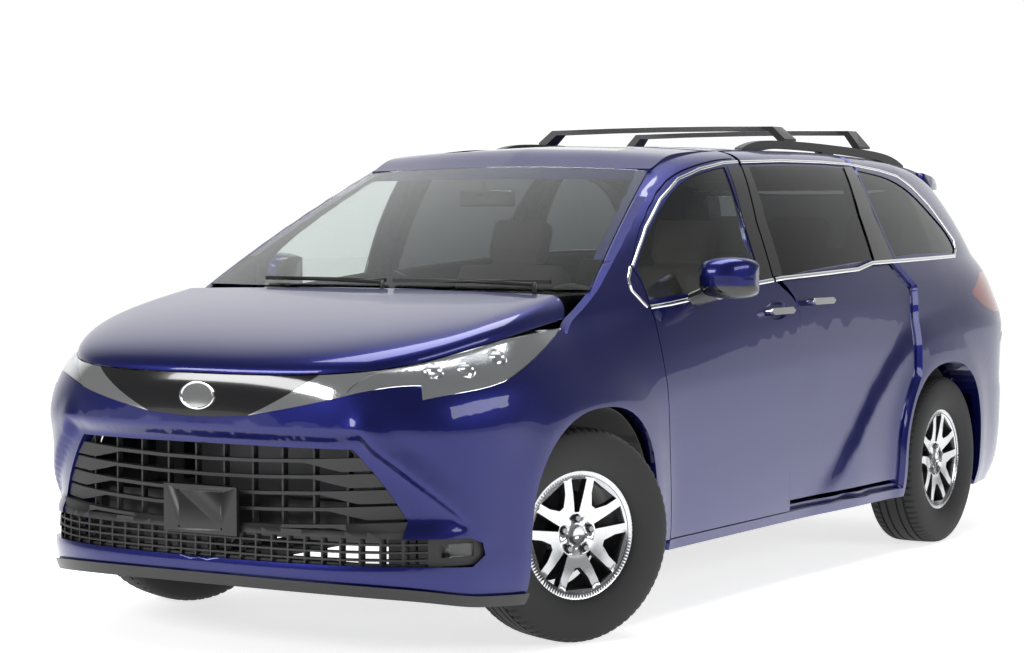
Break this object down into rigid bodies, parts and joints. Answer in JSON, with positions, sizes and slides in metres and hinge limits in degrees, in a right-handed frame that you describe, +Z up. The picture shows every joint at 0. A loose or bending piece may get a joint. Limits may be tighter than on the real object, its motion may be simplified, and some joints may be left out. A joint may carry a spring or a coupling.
{
  "type": "minivan",
  "caption": "Large family van with sliding rear doors, roof rack, low wide grille, bright front wings and steered front wheels turned to the right.",
  "frame": {"origin": "on the ground, at the centre of the bounding box seen from above", "axes": "+X forward, +Y to the vehicle's own left, +Z up"},
  "size_m": [5.1753, 2.26, 1.828],
  "materials": {
    "paint": "deep metallic blue, clear coated",
    "clear_glass": "clear",
    "dark_glass": "privacy tint",
    "lamp": "clear lamp cover",
    "red_lamp": "red lamp cover",
    "bright": "polished",
    "gloss_black": "gloss",
    "grey_plastic": "grained",
    "underbody": "matt black",
    "alloy": "machined",
    "tyre": "black rubber",
    "steel": "bare",
    "casting": "cast",
    "seat_cover": "woven, grey beige"
  },
  "bodies": {
    "body": {"roof": "paint", "roof_glass": "dark_glass", "windshield": "clear_glass", "front_bumper": "paint", "headlamps": "lamp", "bright_wings": "bright", "badge_panel": "gloss_black", "lower_grille": "grey_plastic", "front_lip": "gloss_black", "fog_lamps": "lamp", "plate_bracket": "grey_plastic", "sliding_door_left": "paint", "sliding_door_right": "paint", "side_glass": "dark_glass", "front_fenders": "paint", "rear_bumper": "paint", "body_side_left": "paint", "body_side_right": "paint", "tail_lamps": "red_lamp", "floor_pan": "underbody", "front_frame": "underbody", "radiator": "alloy", "wheel_liners": "grey_plastic", "cowl": "grey_plastic", "dashboard": "grey_plastic", "front_seats": "seat_cover", "second_row_seats": "seat_cover", "third_row_seat": "seat_cover", "roof_rails": "grey_plastic", "cross_bars": "grey_plastic", "front_subframe": "underbody", "rear_axle": "underbody", "engine_block": "casting", "fuel_tank": "grey_plastic", "wipers": "grey_plastic", "cabin_mirror": "gloss_black", "exhaust": "steel"},
    "hood": {"hood": "paint"},
    "tailgate": {"tailgate": "paint", "spoiler": "paint", "tailgate_glass": "dark_glass", "tailgate_lamps": "red_lamp"},
    "front_door_left": {"front_door_left": "paint", "front_door_glass_left": "clear_glass", "mirror_left": "paint"},
    "front_door_right": {"front_door_right": "paint", "front_door_glass_right": "clear_glass", "mirror_right": "paint"},
    "steering_wheel": {"steering_wheel": "grey_plastic"},
    "knuckle_left": {"knuckle_left": "steel"},
    "knuckle_right": {"knuckle_right": "steel"},
    "wheel_front_left": {"rim_front_left": "alloy", "tyre_front_left": "tyre"},
    "wheel_front_right": {"rim_front_right": "alloy", "tyre_front_right": "tyre"},
    "wheel_rear_left": {"rim_rear_left": "alloy", "tyre_rear_left": "tyre"},
    "wheel_rear_right": {"rim_rear_right": "alloy", "tyre_rear_right": "tyre"}
  },
  "joints": [
    {"name": "hood_hinge", "type": "hinge", "parent": "body", "child": "hood", "pos_m": [1.61, 0, 1.176], "axis": [0, -1, 0], "range_deg": [0, 50]},
    {"name": "tailgate_hinge", "type": "hinge", "parent": "body", "child": "tailgate", "pos_m": [-2.045, 0, 1.665], "axis": [0, 1, 0], "range_deg": [0, 80]},
    {"name": "front_door_left_hinge", "type": "hinge", "parent": "body", "child": "front_door_left", "pos_m": [1.182, 0.968, 0.7], "axis": [0, 0, -1], "range_deg": [0, 65]},
    {"name": "front_door_right_hinge", "type": "hinge", "parent": "body", "child": "front_door_right", "pos_m": [1.182, -0.968, 0.7], "axis": [0, 0, 1], "range_deg": [0, 65]},
    {"name": "steer_left", "type": "hinge", "parent": "body", "child": "knuckle_left", "pos_m": [1.622, 0.79, 0.3685], "axis": [0, 0, 1], "range_deg": [-10, 60]},
    {"name": "steer_right", "type": "hinge", "parent": "body", "child": "knuckle_right", "pos_m": [1.622, -0.79, 0.3685], "axis": [0, 0, 1], "range_deg": [-10, 60]},
    {"name": "steering_wheel_turn", "type": "hinge", "parent": "body", "child": "steering_wheel", "pos_m": [0.745, 0.39, 1.01], "axis": [-0.9063, 0, 0.4226], "range_deg": [-150, 880]},
    {"name": "front_left_roll", "type": "hinge", "parent": "knuckle_left", "child": "wheel_front_left", "pos_m": [1.65264, 0.85571, 0.3685], "axis": [0.4226, 0.9063, 0], "continuous": true},
    {"name": "front_right_roll", "type": "hinge", "parent": "knuckle_right", "child": "wheel_front_right", "pos_m": [1.59136, -0.85571, 0.3685], "axis": [0.4226, 0.9063, 0], "continuous": true},
    {"name": "rear_left_roll", "type": "hinge", "parent": "body", "child": "wheel_rear_left", "pos_m": [-1.438, 0.8625, 0.3685], "axis": [0, 1, 0], "continuous": true},
    {"name": "rear_right_roll", "type": "hinge", "parent": "body", "child": "wheel_rear_right", "pos_m": [-1.438, -0.8625, 0.3685], "axis": [0, 1, 0], "continuous": true}
  ],
  "couplings": [
    {"joint": "steer_right", "follows": "steer_left", "ratio": 1},
    {"joint": "steering_wheel_turn", "follows": "steer_left", "ratio": 14.5}
  ]
}
